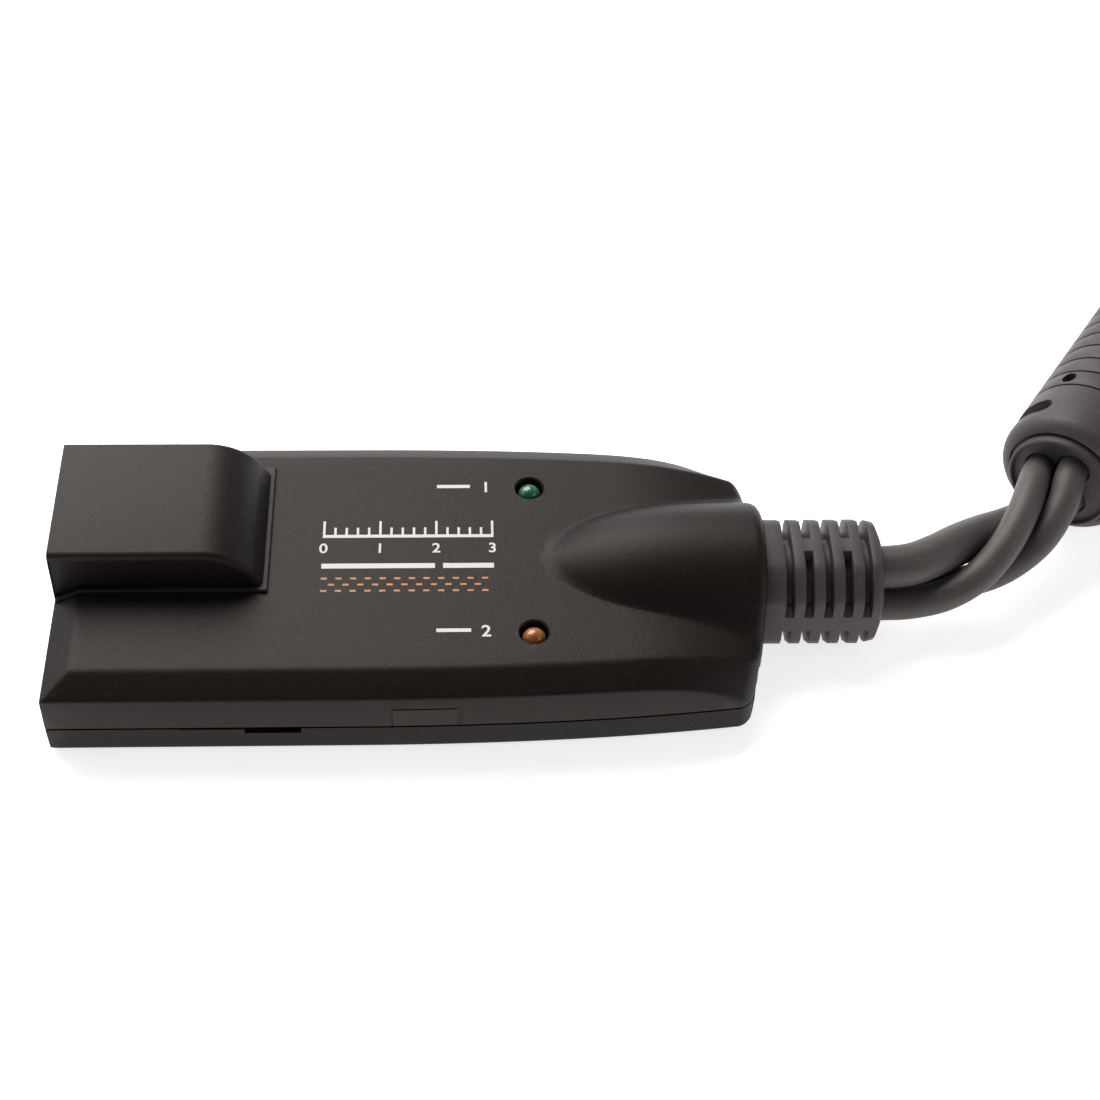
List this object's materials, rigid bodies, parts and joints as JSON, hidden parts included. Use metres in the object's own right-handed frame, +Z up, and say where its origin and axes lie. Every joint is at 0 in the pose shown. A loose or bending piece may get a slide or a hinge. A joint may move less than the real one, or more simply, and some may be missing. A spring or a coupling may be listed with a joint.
{
  "type": "kvm adapter",
  "caption": "Computer-side switch adapter: black two-shell pod with a network socket under a hood and two lamps, and twisted grey leads through a ferrite to a video plug and two round plugs.",
  "frame": {"origin": "middle of the casing and its boot on the surface that the underside rests on", "axes": "+X from the socket end towards the lead end, +Y across the casing to the side that the leads turn to, +Z up"},
  "size_m": [0.2575, 0.1126, 0.0181],
  "materials": {
    "black_abs": "fine grained moulding",
    "board": "solder mask",
    "socket_black": "satin",
    "tinned_steel": "bright plated",
    "gold_plate": "bright plated",
    "green_lens": "clear tinted",
    "amber_lens": "clear tinted",
    "tinned_wire": "bright",
    "chip_black": "satin",
    "can_metal": "satin",
    "ceramic_part": "satin",
    "header_white": "satin",
    "wire_red": "satin",
    "grey_pvc": "soft satin",
    "ferrite": "fired ceramic",
    "lead_pvc": "soft satin",
    "insert_blue": "satin",
    "insert_purple": "satin",
    "insert_green": "satin"
  },
  "bodies": {
    "adapter": {"upper_shell": "black_abs", "lower_shell": "black_abs", "circuit_board": "board", "jack_housing": "socket_black", "jack_shield": "tinned_steel", "jack_contacts": "gold_plate", "online_lamp": "green_lens", "power_lamp": "amber_lens", "lamp_leads": "tinned_wire", "controller_chip": "chip_black", "video_chip": "chip_black", "memory_chip": "chip_black", "crystal_can": "can_metal", "capacitors": "can_metal", "small_parts": "ceramic_part", "wire_header": "header_white", "inner_wires": "wire_red", "strain_relief_boot": "grey_pvc", "ferrite_cover": "grey_pvc", "ferrite_core": "ferrite", "video_lead": "lead_pvc", "keyboard_lead": "lead_pvc", "mouse_lead": "lead_pvc", "video_plug_body": "grey_pvc", "video_plug_shell": "tinned_steel", "video_plug_insert": "insert_blue", "video_plug_pins": "gold_plate", "keyboard_plug_grip": "grey_pvc", "keyboard_plug_shell": "tinned_steel", "keyboard_plug_insert": "insert_purple", "mouse_plug_grip": "grey_pvc", "mouse_plug_shell": "tinned_steel", "mouse_plug_insert": "insert_green", "round_plug_pins": "gold_plate"},
    "inner_screw": {"inner_thumbscrew": "grey_pvc"},
    "outer_screw": {"outer_thumbscrew": "grey_pvc"}
  },
  "joints": [
    {"name": "inner_screw_turn", "type": "hinge", "parent": "adapter", "child": "inner_screw", "pos_m": [0.16251, 0, 0.00775], "axis": [0, -1, 0], "continuous": true},
    {"name": "outer_screw_turn", "type": "hinge", "parent": "adapter", "child": "outer_screw", "pos_m": [0.18749, 0, 0.00775], "axis": [0, -1, 0], "continuous": true}
  ]
}
